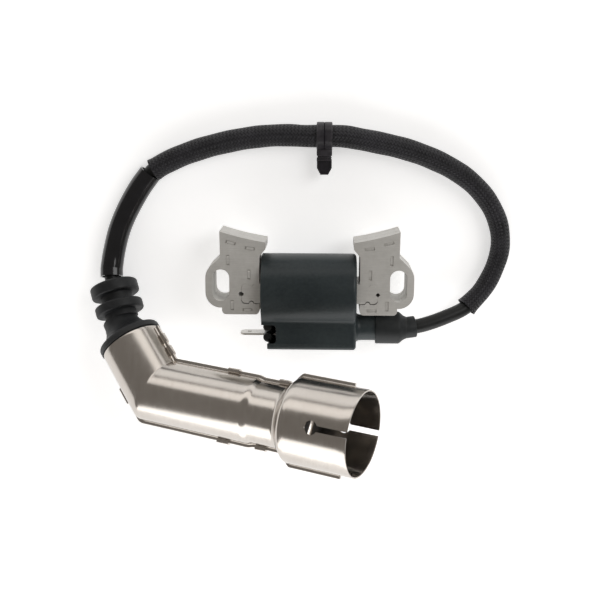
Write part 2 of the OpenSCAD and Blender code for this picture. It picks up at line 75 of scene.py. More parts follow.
# %% Lofting rings of points
class Shape:
    """Points in mm, faces and their UVs, gathered before one mesh is made of them."""

    def __init__(self):
        self.points = []
        self.faces = []
        self.uvs = []

    def loft(self, rings, caps=True, closed=False, along=None):
        """Joins rings of equal length. closed joins the last ring to the first; caps fills both ends."""
        start, size = len(self.points), len(rings[0])
        along = along or list(range(len(rings)))
        for ring in rings:
            self.points += [tuple(p) for p in ring]
        pairs = [(i, i + 1) for i in range(len(rings) - 1)]
        if closed:
            pairs.append((len(rings) - 1, 0))
        for i, j in pairs:
            for k in range(size):
                n = (k + 1) % size
                self.faces.append([start + i * size + k, start + i * size + n,
                                   start + j * size + n, start + j * size + k])
                self.uvs.append([(along[i], k / size), (along[i], (k + 1) / size),
                                 (along[j], (k + 1) / size), (along[j], k / size)])
        if caps and not closed:
            for i in (0, len(rings) - 1):
                self.faces.append([start + i * size + k for k in range(size)])
                self.uvs.append([(along[i], k / size) for k in range(size)])


def finish_mesh(mesh, sharp):
    """Merges doubles, turns the faces outwards and shades smooth up to an angle."""
    work = bmesh.new()
    work.from_mesh(mesh)
    bmesh.ops.remove_doubles(work, verts=work.verts, dist=2e-6)
    bmesh.ops.recalc_face_normals(work, faces=work.faces)
    work.to_mesh(mesh)
    work.free()
    mesh.shade_smooth()
    mesh.set_sharp_from_angle(angle=math.radians(sharp))


def place(mesh, name, material, body, replaces=()):
    """Links a mesh as a piece that rides on a body."""
    mesh.materials.clear()
    mesh.materials.append(material)
    obj = bpy.data.objects.new(name, mesh)
    bpy.context.scene.collection.objects.link(obj)
    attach(obj, body)
    if replaces:
        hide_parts(*replaces)
    print(f"{name}: {len(mesh.polygons)} faces on {body}")
    return obj


def piece(name, shape, material, body, replaces=(), sharp=32):
    """Makes a mesh object of a shape. sharp is the angle in degrees from which edges stay sharp."""
    mesh = bpy.data.meshes.new(name)
    mesh.from_pydata([[MM * c for c in p] for p in shape.points], [], shape.faces)
    layer = mesh.uv_layers.new(name="along")
    layer.data.foreach_set("uv", [c for face in shape.uvs for uv in face for c in uv])
    finish_mesh(mesh, sharp)
    return place(mesh, name, material, body, replaces)


def across(axis, up=Vector((0, 0, 1))):
    """Two unit vectors square to an axis."""
    side = axis.cross(up)
    if side.length < 1e-6:
        side = axis.cross(Vector((0, 1, 0)))
    side.normalize()
    return side, side.cross(axis).normalized()


def lathe(shape, origin, axis, profile, sides=64, closed=False, up=Vector((0, 0, 1))):
    """Turns a profile of (distance along, radius) round an axis."""
    origin, axis = Vector(origin), Vector(axis).normalized()
    u, v = across(axis, up)
    rings = []
    for x, r in profile:
        turn = [2 * math.pi * k / sides for k in range(sides)]
        rings.append([origin + axis * x + u * (r * math.cos(a)) + v * (r * math.sin(a)) for a in turn])
    shape.loft(rings, caps=False, closed=closed)


def arc(cx, cy, r, start, stop, count):
    """Points of an arc from one angle to another, in degrees."""
    angles = [math.radians(start + (stop - start) * k / (count - 1)) for k in range(count)]
    return [(cx + r * math.cos(a), cy + r * math.sin(a)) for a in angles]


def smoothstep(t):
    t = min(max(t, 0.0), 1.0)
    return t * t * (3 - 2 * t)


def lerp(a, b, t):
    return a + (b - a) * t


# %% [markdown]
# ## Shader groups
# Four effects are node groups, because most come back in several finishes: mottled grain, drawn lines, a
# braid's weave and wear on edges. They give out only masks and heights. The shader stays in each material.

# %% A small builder for node groups
def group(name, inputs, outputs):
    tree = bpy.data.node_groups.new(name, "ShaderNodeTree")
    for label, kind, value in inputs:
        socket = tree.interface.new_socket(label, in_out="INPUT", socket_type=kind)
        if value is not None:
            socket.default_value = value
    for label in outputs:
        tree.interface.new_socket(label, in_out="OUTPUT", socket_type="NodeSocketFloat")
    source = tree.nodes.new("NodeGroupInput")
    sink = tree.nodes.new("NodeGroupOutput")
    return tree, source.outputs, sink.inputs


def add(tree, kind, links=(), **settings):
    """Adds a node, sets its properties, and links or sets its inputs by index or name."""
    node = tree.nodes.new(kind)
    for key, value in settings.items():
        setattr(node, key, value)
    for key, value in links:
        if isinstance(value, bpy.types.NodeSocket):
            tree.links.new(value, node.inputs[key])
        else:
            node.inputs[key].default_value = value
    return node


def sums(tree, operation, a, b=0.0, c=0.0):
    """One Math node's result."""
    return add(tree, "ShaderNodeMath", ((0, a), (1, b), (2, c)), operation=operation).outputs[0]


# %% Grain, drawn lines, weave and wear
FLOAT, VECTOR = "NodeSocketFloat", "NodeSocketVector"


def make_grain():
    tree, inp, out = group("grain", (("Vector", VECTOR, None), ("Scale", FLOAT, 400.0),
                                     ("Patches", FLOAT, 60.0)), ("Value", "Height"))
    fine = add(tree, "ShaderNodeTexNoise", (("Vector", inp["Vector"]), ("Scale", inp["Scale"]),
                                            ("Detail", 3.0), ("Roughness", 0.6)))
    wide = add(tree, "ShaderNodeTexNoise", (("Vector", inp["Vector"]), ("Scale", inp["Patches"]),
                                            ("Detail", 2.0)))
    share = sums(tree, "MULTIPLY", wide.outputs["Fac"], 0.55)
    both = sums(tree, "MULTIPLY_ADD", fine.outputs["Fac"], 0.45, share)
    spread = add(tree, "ShaderNodeMapRange", (("Value", both), ("From Min", 0.35), ("From Max", 0.65)))
    tree.links.new(spread.outputs["Result"], out["Value"])
    tree.links.new(fine.outputs["Fac"], out["Height"])
    return tree


def make_lines():
    tree, inp, out = group("drawn_lines", (("Vector", VECTOR, None), ("Scale", FLOAT, 2500.0)), ("Value",))
    noise = add(tree, "ShaderNodeTexNoise", (("Vector", inp["Vector"]), ("Scale", inp["Scale"]),
                                             ("Detail", 4.0), ("Roughness", 0.7)))
    spread = add(tree, "ShaderNodeMapRange", (("Value", noise.outputs["Fac"]), ("From Min", 0.3),
                                              ("From Max", 0.7)))
    tree.links.new(spread.outputs["Result"], out["Value"])
    return tree


def make_weave():
    """Two families of ribbons that cross and pass over and under each other."""
    tree, inp, out = group("weave", (("Vector", VECTOR, None), ("Along", FLOAT, 1.0),
                                     ("Around", FLOAT, 24.0)), ("Height",))
    parts = add(tree, "ShaderNodeSeparateXYZ", ((0, inp["Vector"]),))
    u = sums(tree, "MULTIPLY", parts.outputs["X"], inp["Along"])
    v = sums(tree, "MULTIPLY", parts.outputs["Y"], inp["Around"])
    left, right = sums(tree, "ADD", u, v), sums(tree, "SUBTRACT", u, v)
    crowns = [sums(tree, "PINGPONG", side, 0.5) for side in (left, right)]
    cells = sums(tree, "ADD", sums(tree, "FLOOR", left), sums(tree, "FLOOR", right))
    over = sums(tree, "FLOORED_MODULO", cells, 2.0)
    under = sums(tree, "SUBTRACT", 1.0, over)
    shown = [sums(tree, "MULTIPLY", crown, mask) for crown, mask in zip(crowns, (over, under))]
    height = sums(tree, "ADD", *shown)
    tree.links.new(sums(tree, "MULTIPLY", height, 2.0), out["Height"])
    return tree


def make_wear():
    tree, inp, out = group("edge_wear", (("Vector", VECTOR, None), ("Amount", FLOAT, 0.5)), ("Mask",))
    shape = add(tree, "ShaderNodeNewGeometry")
    edge = add(tree, "ShaderNodeMapRange", (("Value", shape.outputs["Pointiness"]), ("From Min", 0.52),
                                            ("From Max", 0.6)))
    chips = add(tree, "ShaderNodeTexNoise", (("Vector", inp["Vector"]), ("Scale", 900.0), ("Detail", 2.0)))
    worn = sums(tree, "MULTIPLY", edge.outputs["Result"], chips.outputs["Fac"])
    tree.links.new(sums(tree, "MULTIPLY", worn, inp["Amount"]), out["Mask"])
    return tree


GRAIN, LINES, WEAVE, WEAR = make_grain(), make_lines(), make_weave(), make_wear()
print("shader groups:", [g.name for g in (GRAIN, LINES, WEAVE, WEAR)])

# %% [markdown]
# ## Finishes
# Every finish mixes two near colours by the grain, varies its roughness by the same grain and lifts a little
# bump. Metals add drawn lines, which are the same noise squeezed along one axis. Black rubbers and plastics
# differ mostly in roughness, so their numbers are kept side by side.

# %% One builder for all finishes
def mixed(tree, factor, a, b):
    node = add(tree, "ShaderNodeMix", data_type="RGBA")
    tree.links.new(factor, node.inputs["Factor"])
    for socket, value in ((node.inputs["A"], a), (node.inputs["B"], b)):
        if isinstance(value, bpy.types.NodeSocket):
            tree.links.new(value, socket)
        else:
            socket.default_value = (*value, 1.0)
    return node.outputs["Result"]


def finish(name, dark, light, rough, spread=0.08, metallic=0.0, scale=500.0, patches=60.0, height=0.03,
           stretch=None, worn=None, coat=0.0, weave=None, specular=0.3, glow=0.0):
    """A Principled finish: two colours, a roughness with its spread, a bump height in mm and a glow."""
    material = bpy.data.materials.new(name)
    material.use_nodes = True
    tree = material.node_tree
    shader = tree.nodes["Principled BSDF"]
    shader.inputs["Metallic"].default_value = metallic
    shader.inputs["Coat Weight"].default_value = coat
    shader.inputs["Specular IOR Level"].default_value = specular
    shader.inputs["Emission Color"].default_value = (1, 1, 1, 1)
    shader.inputs["Emission Strength"].default_value = glow
    spot = add(tree, "ShaderNodeTexCoord")
    grain = add(tree, "ShaderNodeGroup", node_tree=GRAIN)
    tree.links.new(spot.outputs["Object"], grain.inputs["Vector"])
    grain.inputs["Scale"].default_value = scale
    grain.inputs["Patches"].default_value = patches
    value, bump = grain.outputs["Value"], grain.outputs["Height"]
    if stretch:
        squeezed = add(tree, "ShaderNodeMapping", (("Vector", spot.outputs["Object"]), ("Scale", stretch)))
        lines = add(tree, "ShaderNodeGroup", node_tree=LINES)
        tree.links.new(squeezed.outputs["Vector"], lines.inputs["Vector"])
        bump = lines.outputs["Value"]
        value = sums(tree, "MULTIPLY_ADD", bump, 0.5, sums(tree, "MULTIPLY", value, 0.5))
    if weave:
        braid = add(tree, "ShaderNodeGroup", node_tree=WEAVE)
        tree.links.new(spot.outputs["UV"], braid.inputs["Vector"])
        braid.inputs["Along"].default_value, braid.inputs["Around"].default_value = weave
        bump = braid.outputs["Height"]
        # With a weave the colour follows the strands' height: the hollows between strands get painted shade, and
        # the crowns keep the sleeve's own colour.
        value = sums(tree, "MULTIPLY", bump, grain.outputs["Value"])
    colour = mixed(tree, value, dark, light)
    if worn:
        wear = add(tree, "ShaderNodeGroup", node_tree=WEAR)
        tree.links.new(spot.outputs["Object"], wear.inputs["Vector"])
        colour = mixed(tree, wear.outputs["Mask"], colour, worn)
    tree.links.new(colour, shader.inputs["Base Color"])
    ranged = add(tree, "ShaderNodeMapRange", (("Value", value), ("To Min", rough - spread),
                                              ("To Max", rough + spread)))
    tree.links.new(ranged.outputs["Result"], shader.inputs["Roughness"])
    raised = add(tree, "ShaderNodeBump", (("Height", bump), ("Distance", height * MM)))
    raised.inputs["Strength"].default_value = 1.0
    tree.links.new(raised.outputs["Normal"], shader.inputs["Normal"])
    return material


# %% The finishes, by slot
FINISHES = {
    "laminations": finish("ground_steel", (0.56, 0.55, 0.52), (0.70, 0.69, 0.66), 0.42, 0.06, metallic=0.4,
                          stretch=(0.06, 1.0, 1.0), height=0.006, patches=90),
    "bobbin_plastic": finish("bobbin_plastic", (0.72, 0.69, 0.60), (0.80, 0.77, 0.68), 0.5),
    "enamelled_copper": finish("enamelled_copper", (0.40, 0.15, 0.06), (0.55, 0.22, 0.09), 0.3, metallic=0.8,
                               stretch=(1.0, 0.05, 0.05), height=0.05),
    "case_plastic": finish("case_plastic", (0.020, 0.028, 0.031), (0.030, 0.040, 0.043), 0.36, 0.05,
                           scale=900, height=0.006, worn=(0.10, 0.11, 0.11)),
    "potting_resin": finish("potting_resin", (0.008, 0.009, 0.009), (0.016, 0.017, 0.017), 0.22, 0.1,
                            scale=250, height=0.05),
    "board_laminate": finish("board_laminate", (0.01, 0.07, 0.03), (0.02, 0.11, 0.05), 0.4),
    "component_black": finish("component_black", (0.015, 0.015, 0.016), (0.03, 0.03, 0.03), 0.5),
    "component_tan": finish("component_tan", (0.42, 0.28, 0.13), (0.5, 0.36, 0.18), 0.45),
    "tinned_steel": finish("tinned_steel", (0.55, 0.54, 0.51), (0.74, 0.73, 0.70), 0.32, 0.08, metallic=0.9,
                           stretch=(0.05, 1.0, 1.0), height=0.004),
    "brass": finish("brass", (0.55, 0.38, 0.13), (0.70, 0.50, 0.20), 0.28, metallic=1.0),
    "bare_copper": finish("bare_copper", (0.55, 0.25, 0.14), (0.68, 0.34, 0.20), 0.3, metallic=1.0),
    "boot_rubber": finish("boot_rubber", (0.011, 0.013, 0.014), (0.020, 0.023, 0.024), 0.5, 0.08, height=0.02,
                          worn=(0.05, 0.05, 0.05)),
    "lead_rubber": finish("lead_rubber", (0.009, 0.010, 0.010), (0.016, 0.017, 0.017), 0.38, 0.08,
                          height=0.015),
    # The braid's dark colour is painted shade in the hollows of the weave; its light colour is the strands' own
    # dark grey.
    "braided_sleeve": finish("braided_sleeve", (0.004, 0.004, 0.005), (0.045, 0.043, 0.052), 0.5, 0.1,
                             weave=(0.75, 20.0), height=0.16),
    "guard_pvc": finish("guard_pvc", (0.006, 0.006, 0.007), (0.010, 0.010, 0.012), 0.16, 0.06, scale=300,
                        height=0.02, coat=0.4),
    "clip_nylon": finish("clip_nylon", (0.013, 0.012, 0.015), (0.024, 0.022, 0.027), 0.33, 0.08, height=0.012,
                         worn=(0.14, 0.13, 0.14)),
    "grommet_rubber": finish("grommet_rubber", (0.012, 0.013, 0.014), (0.022, 0.024, 0.026), 0.52, 0.1,
                             height=0.03, worn=(0.06, 0.06, 0.06)),
    "nickel_shield": finish("satin_nickel", (0.52, 0.48, 0.44), (0.62, 0.585, 0.545), 0.2, 0.04, metallic=1.0,
                            stretch=(1.0, 0.04, 0.04), height=0.0004, patches=40),
    "phenolic": finish("phenolic", (0.018, 0.014, 0.011), (0.035, 0.027, 0.021), 0.42),
    "ceramic": finish("ceramic", (0.66, 0.62, 0.52), (0.76, 0.72, 0.62), 0.35),
    "spring_steel": finish("spring_steel", (0.42, 0.42, 0.41), (0.58, 0.58, 0.56), 0.3, metallic=1.0),
    "seal_rubber": finish("seal_rubber", (0.014, 0.015, 0.016), (0.026, 0.027, 0.028), 0.55),
}
for row in frame["record"]["subparts"]:
    cad_mesh = frame["nodes"][row["node"]].data
    cad_mesh.materials.clear()
    cad_mesh.materials.append(FINISHES[row["material_slot"]])
    print(row["node"], "wears", row["material_slot"])

# %% [markdown]
# ## The lead and its sleeves
# The lead is a 5.5 mm rubber cable that leaves the tower, lies round on the table and rises into the cap.
# Its route is a list of points, smoothed so that no joint shows. The jacket is a mesh tube along
# that line. A braided sleeve covers the middle and a loose glossy tube guards the stretch by the cap.

# %% The cap's own axes, from the frame
joints = {j["name"]: j for j in frame["joints"]}
mounts = {m["name"]: m for m in frame["record"]["mounts"]}
COLLAR_DIR = 134.0
COLLAR_COS, COLLAR_SIN = math.cos(math.radians(COLLAR_DIR)), math.sin(math.radians(COLLAR_DIR))
BEND = Vector(joints["plug_cap_swivel"]["pos_m"]) / MM
TUBE_AXIS = Vector(mounts["plug_socket"]["axis"])
COLLAR_AXIS = Vector(joints["plug_cap_swivel"]["axis"])
IN_PLANE = ((COLLAR_AXIS - TUBE_AXIS * COLLAR_COS) / COLLAR_SIN).normalized()
UP_OUT = TUBE_AXIS.cross(IN_PLANE)


def from_cap(x, y, z=0.0):
    """A point of the cap's own frame, in the coil's frame."""
    return BEND + TUBE_AXIS * x + IN_PLANE * y + UP_OUT * z


def on_collar(t):
    return (t * COLLAR_COS, t * COLLAR_SIN)


print("bend at", [round(c, 2) for c in BEND])

# %% The route, smoothed
ROUTE = [
    (20, -17.8, 6.5), (30.6, -17.8, 6.5), (36.7, -17.8, 6.5), (43.6, -16.7, 5.8),
    (52, -14, 4.2), (60, -10.4, 2.2), (66.2, -3.9, 0.2), (70.4, 3.5, -1.2),
    (72.6, 12, -1.7), (71.6, 21, -1.7), (67.9, 29, -1.7), (62, 35.9, -1.7),
    (54.4, 41.5, -1.7), (45.6, 45.9, -1.7), (36, 49.2, -1.7), (26, 51.6, -1.6),
    (17.6, 53.2, -1.1), (11, 54.1, -0.6), (-1, 54.1, -0.6), (-9, 54.4, -1),
    (-18, 53.9, -1.5), (-28, 52.5, -1.7), (-38, 50.2, -1.7), (-47.4, 47.1, -1.7),
    (-55, 43.8, -1.6), (-59.9, 41, -1.5), (-61.1, 39.8, -1.5), (-65.6, 33.6, -1.5),
    (-70, 26.2, -1.5), (-73.6, 17.8, -1.5), (-76, 9.2, -1.2), (-76.8, 3.2, 0),
]
RING_1, RING_2, LEAD_ENTRY = (-27.0, 34.3), (-23.4, 27.7), (-29.1, 38.3)
LEAD_LINE = [Vector(p) for p in ROUTE[1:]]
LEAD_LINE += [from_cap(*p) for p in (LEAD_ENTRY, RING_1, RING_2, on_collar(25))]
STEPS = 6


def smooth_line(points, steps=STEPS):
    """A Catmull-Rom curve through the points."""
    ends = [points[0] * 2 - points[1], *points, points[-1] * 2 - points[-2]]
    line = []
    for i in range(1, len(ends) - 2):
        a, b, c, d = ends[i - 1], ends[i], ends[i + 1], ends[i + 2]
        for k in range(steps):
            t = k / steps
            line.append(0.5 * (2 * b + (c - a) * t + (2 * a - 5 * b + 4 * c - d) * t ** 2
                               + (3 * b - a - 3 * c + d) * t ** 3))
    return [*line, points[-1]]


def lengths(line):
    run = [0.0]
    for a, b in zip(line, line[1:]):
        run.append(run[-1] + (b - a).length)
    return run


def sweep(shape, line, outer, inner=None, sides=24):
    """A tube along a line. outer(s, k) and inner(s, k) give radii at a length s and a side's angle k."""
    run = lengths(line)
    side = None
    outside, inside = [], []
    for i, p in enumerate(line):
        ahead = (line[min(i + 1, len(line) - 1)] - line[max(i - 1, 0)]).normalized()
        side = across(ahead)[0] if side is None else (side - ahead * side.dot(ahead)).normalized()
        rise = side.cross(ahead)
        for ring, radius in ((outside, outer), (inside, inner)):
            if radius:
                turn = [2 * math.pi * k / sides for k in range(sides)]
                ring.append([p + side * (radius(run[i], a) * math.cos(a))
                             + rise * (radius(run[i], a) * math.sin(a)) for a in turn])
    if inner:
        shape.loft(outside + inside[::-1], closed=True, along=run + run[::-1])
    else:
        shape.loft(outside, along=run)
    return run[-1]


lead_line = smooth_line(LEAD_LINE)
lead = Shape()
LEAD_R = 2.75
lead_length = sweep(lead, lead_line, lambda s, a: LEAD_R)
lead_piece = piece("ht_lead", lead, FINISHES["lead_rubber"], "coil", ("lead_jacket",))
print("lead, from the boot to inside the cap:", round(lead_length, 1), "mm")

# %% [markdown]
# The braided sleeve is a slack sock: thinner where it is pulled tight and wider near the cap, with ends
# that flare where the strands are cut. Its weave is a shader pattern on the tube's own UVs, in which u is the
# length in millimetres and v goes once round, so the braid follows every bend.

# %% The braided sleeve
SLEEVE_FROM, SLEEVE_TO = 5, 25
sleeve_line = smooth_line([Vector(p) for p in ROUTE[SLEEVE_FROM:SLEEVE_TO + 1]], 12)
sleeve_total = lengths(sleeve_line)[-1]


def sleeve_radius(s, a):
    tight = lerp(3.65, 4.18, smoothstep((s - 20) / 75))
    flare = 0.5 * math.exp(-s / 1.5) + 0.35 * math.exp(-(sleeve_total - s) / 1.2)
    slack = 0.05 * math.sin(s * 0.55 + 2 * a) + 0.035 * math.sin(s * 0.23 - 3 * a + 1)
    return min(tight + flare + slack, 4.35)


sleeve = Shape()
sweep(sleeve, sleeve_line, sleeve_radius, lambda s, a: sleeve_radius(s, a) - 0.45, sides=40)
sleeve_piece = piece("sleeve_braid", sleeve, FINISHES["braided_sleeve"], "coil",
                     ("heat_sleeve",), sharp=50)

# %% The glossy guard tube
GUARD_FROM, GUARD_TO = 26, 31
guard_line = smooth_line([Vector(p) for p in ROUTE[GUARD_FROM:GUARD_TO + 1]], 12)
GUARD_REACH = 3.2
guard_line.append(guard_line[-1] + (from_cap(*LEAD_ENTRY) - guard_line[-1]).normalized() * GUARD_REACH)


def guard_radius(s, a):
    slack = 0.06 * math.sin(s * 0.31 + a) + 0.05 * math.sin(s * 0.17 - 2 * a)
    return 4.33 + slack


guard = Shape()
sweep(guard, guard_line, guard_radius, lambda s, a: guard_radius(s, a) - 0.7, sides=48)
guard_piece = piece("guard_sheath", guard, FINISHES["guard_pvc"], "coil", ("guard_tube",),
                    sharp=40)

# %% [markdown]
# ## The laminated core
# The core is a stack of 32 punched steel sheets, each half a millimetre, in three groups: two legs and the bar
# that joins them like a jigsaw puzzle. One sheet is drawn as a flat curve from lines and arcs, and Geometry
# Nodes repeat it up the stack with a hair of sideways slip, so that the edges show real layers.

# %% One sheet from its outline
SHEET_T, SHEETS = 0.5, 32
BURR = 0.03
BAR_Y, BAR_HALF = -3.0, 3.6
GAP_UP, GAP_LOW = 0.08, 0.5


def leg_outline(hole_sides):
    """The right leg's edge, anticlockwise, with the bar's socket in its inner side."""
    pole_cy = 16.2 + math.sqrt(108.0 ** 2 - 16.4 ** 2)
    pole = [(x, pole_cy - math.sqrt(108.0 ** 2 - x * x)) for x in [33.3 - 16.9 * k / 15 for k in range(16)]]
    top, low = BAR_Y + BAR_HALF + GAP_UP, BAR_Y - BAR_HALF - GAP_LOW
    socket = [(18.7, top), *arc(21.6, top, 0.9, 180, 360, 11), *arc(23.9, top - 1.5, 1.5, 90, 0, 7)]
    socket += arc(25.4, -3.3, 0.95, 90, -90, hole_sides)
    socket += [*arc(23.9, low + 1.5, 1.5, 0, -90, 7), *arc(21.6, low, 0.9, 0, 180, 11), (18.7, low)]
    return [*arc(20.2, -9.5, 1.5, 180, 270, 6), *arc(31.1, -9.5, 1.5, 270, 360, 6),
            *arc(33, -2.8, 5.7, -94, 0, 16), *arc(33, 2.8, 5.7, 0, 50, 9), (33.15, 10.6),
            *pole, (16.4, 13.6), (18.7, 10.8), *socket]


def tongue_outline(bite_sides):
    """One end of the bar: a puzzle tongue with a bite where the socket's hole is."""
    low, high = BAR_Y - BAR_HALF, BAR_Y + BAR_HALF
    return [*arc(21.6, low - 0.1, 1.0, 180, 0, 11), *arc(23.9, low + 1.4, 1.4, -90, 0, 7),
            *arc(25.3, -3.3, 0.85, 270, 90, bite_sides),
            *arc(23.9, high - 1.4, 1.4, 0, 90, 7), *arc(21.6, high + 0.1, 1.0, 0, -180, 11)]


def bar_outline():
    """The bar with its two puzzle tongues, anticlockwise."""
    return tongue_outline(3) + [(-x, y) for x, y in reversed(tongue_outline(13))]


def slot_outline():
    return [*arc(33, 2.8, 3.2, 0, 180, 16), *arc(33, -2.8, 3.2, 180, 360, 16)]


def mark_outline(x, y, tilt, half=1.9, wide=0.6):
    c, s = math.cos(math.radians(tilt)), math.sin(math.radians(tilt))
    corners = ((-half, -wide), (half, -wide), (half, wide), (-half, wide))
    return [(x + c * a - s * b, y + s * a + c * b) for a, b in corners]


def flat_mesh(name, outlines, thick, edge):
    """A plate with holes, lying on z = 0, from a filled curve."""
    curve = bpy.data.curves.new(name, "CURVE")
    curve.dimensions, curve.fill_mode = "2D", "BOTH"
    curve.extrude, curve.bevel_depth, curve.bevel_resolution = MM * (thick / 2 - edge), MM * edge, 0
    for outline in outlines:
        spline = curve.splines.new("POLY")
        spline.points.add(len(outline) - 1)
        for point, (x, y) in zip(spline.points, outline):
            point.co = (MM * x, MM * y, 0, 1)
        spline.use_cyclic_u = True
    holder = bpy.data.objects.new(name, curve)
    bpy.context.scene.collection.objects.link(holder)
    mesh = bpy.data.meshes.new_from_object(holder.evaluated_get(bpy.context.evaluated_depsgraph_get()))
    bpy.data.objects.remove(holder)
    finish_mesh(mesh, 25)
    return mesh


# %% A stack of sheets with Geometry Nodes
def make_stack_tree():
    tree = bpy.data.node_groups.new("sheet_stack", "GeometryNodeTree")
    ask = {}
    for label, kind in (("Geometry", "NodeSocketGeometry"), ("Count", "NodeSocketInt"),
                        ("Pitch", FLOAT), ("Slip", FLOAT), ("Seed", "NodeSocketInt"),
                        ("Material", "NodeSocketMaterial")):
        ask[label] = tree.interface.new_socket(label, in_out="INPUT", socket_type=kind).identifier
    tree.interface.new_socket("Geometry", in_out="OUTPUT", socket_type="NodeSocketGeometry")
    inp = tree.nodes.new("NodeGroupInput").outputs
    step = add(tree, "ShaderNodeCombineXYZ", (("Z", inp["Pitch"]),))
    line = add(tree, "GeometryNodeMeshLine", (("Count", inp["Count"]), ("Offset", step.outputs[0])),
               mode="OFFSET")
    back = sums(tree, "MULTIPLY", inp["Slip"], -1.0)
    low = add(tree, "ShaderNodeCombineXYZ", (("X", back), ("Y", back)))
    high = add(tree, "ShaderNodeCombineXYZ", (("X", inp["Slip"]), ("Y", inp["Slip"])))
    slip = add(tree, "FunctionNodeRandomValue", data_type="FLOAT_VECTOR")
    tree.links.new(low.outputs[0], slip.inputs["Min"])
    tree.links.new(high.outputs[0], slip.inputs["Max"])
    tree.links.new(inp["Seed"], slip.inputs["Seed"])
    moved = add(tree, "GeometryNodeSetPosition", (("Geometry", line.outputs["Mesh"]),
                                                  ("Offset", slip.outputs[0])))
    copies = add(tree, "GeometryNodeInstanceOnPoints", (("Points", moved.outputs[0]),
                                                        ("Instance", inp["Geometry"])))
    real = add(tree, "GeometryNodeRealizeInstances", (("Geometry", copies.outputs[0]),))
    painted = add(tree, "GeometryNodeSetMaterial", (("Geometry", real.outputs[0]),
                                                    ("Material", inp["Material"])))
    add(tree, "NodeGroupOutput", (("Geometry", painted.outputs[0]),))
    return tree, ask


STACK_TREE, STACK_ASK = make_stack_tree()


def stack(name, sheet, count, seed, replaces):
    """Repeats a sheet up the stack and leaves a plain mesh."""
    sheet.transform(Matrix.Translation((0, 0, MM * SHEET_T / 2)))
    holder = bpy.data.objects.new(name + "_sheets", sheet)
    bpy.context.scene.collection.objects.link(holder)
    repeat = holder.modifiers.new("stack", "NODES")
    repeat.node_group = STACK_TREE
    for label, value in (("Count", count), ("Pitch", MM * SHEET_T), ("Slip", MM * 0.035), ("Seed", seed),
                         ("Material", FINISHES["laminations"])):
        repeat[STACK_ASK[label]] = value
    mesh = bpy.data.meshes.new_from_object(holder.evaluated_get(bpy.context.evaluated_depsgraph_get()))
    bpy.data.objects.remove(holder)
    return place(mesh, name, FINISHES["laminations"], "coil", replaces)


# %% [markdown]
# Small staked marks hold the sheets together. The top sheet of each leg has a slot for each mark and a bent
# strip in it: the strips stand proud on the left leg and dip on the right one, as a punch leaves them.

# %% Legs, bar and staked marks
MARKS = [(29.2, 16.0, 14), (22.1, 13.9, 7), (30.3, 9.5, 90),
         (22.5, 4.1, 90), (28.8, -7.6, 90), (23.1, -9.3, 0)]
CORE_T = SHEET_T * SHEETS


def mark_strip(shape, x, y, tilt, side, rise):
    """A strip bent up or down in its middle, in the slot of a mark."""
    c, s = math.cos(math.radians(tilt)), math.sin(math.radians(tilt))
    rings = []
    for a, z in ((-1.75, -0.45), (-1.2, rise), (-0.4, rise + 0.02),
                 (0.4, rise + 0.02), (1.2, rise), (1.75, -0.45)):
        ring = []
        for b, dz in ((-0.5, 0), (0.5, 0), (0.5, -0.4), (-0.5, -0.4)):
            ring.append((side * (x + c * a - s * b), y + s * a + c * b, CORE_T + z + dz))
        rings.append(ring)
    shape.loft(rings)


for side, label, hole_sides, rise in ((1, "right", 3, -0.32), (-1, "left", 13, 0.1)):
    outline = [(side * x, y) for x, y in leg_outline(hole_sides)][::side]
    slot = [(side * x, y) for x, y in slot_outline()][::-side]
    holes = [[(side * x, y) for x, y in mark_outline(*mark)] for mark in MARKS]
    stack(f"core_leg_{label}_stack", flat_mesh("sheet", [outline, slot], SHEET_T, BURR), SHEETS - 1, 3 + side,
          (f"core_leg_{label}",))
    face = flat_mesh(f"core_leg_{label}_face", [outline, slot, *holes], SHEET_T, BURR)
    face.transform(Matrix.Translation((0, 0, MM * (CORE_T - SHEET_T / 2))))
    place(face, f"core_leg_{label}_face", FINISHES["laminations"], "coil")
    strips = Shape()
    for mark in MARKS:
        mark_strip(strips, *mark, side, rise)
    piece(f"core_leg_{label}_stakes", strips, FINISHES["laminations"], "coil")
stack("core_bar_stack", flat_mesh("sheet", [bar_outline()], SHEET_T, BURR), SHEETS, 9, ("core_bar",))

# %% [markdown]
# ## The coil case
# The case is one moulding: a round body over the windings that runs into a flat box for the electronics. Its
# outline in Y and Z is arcs and lines, always with the same number of points, so rings of it can be
# lofted with rounded ends. The open left end has its own lip, with a notch over the stop terminal.

# %% The case
CASE_X0, CASE_X1, CASE_R = -18.0, 17.5, 13.8
CASE_CZ, BOX_Y0, BOX_Z1, CASE_BACK, BACK_Y = 8.0, -24.5, 17.0, 6.0, 7.5
NOTCH = (-22.1, -14.9)
WALL = 1.2


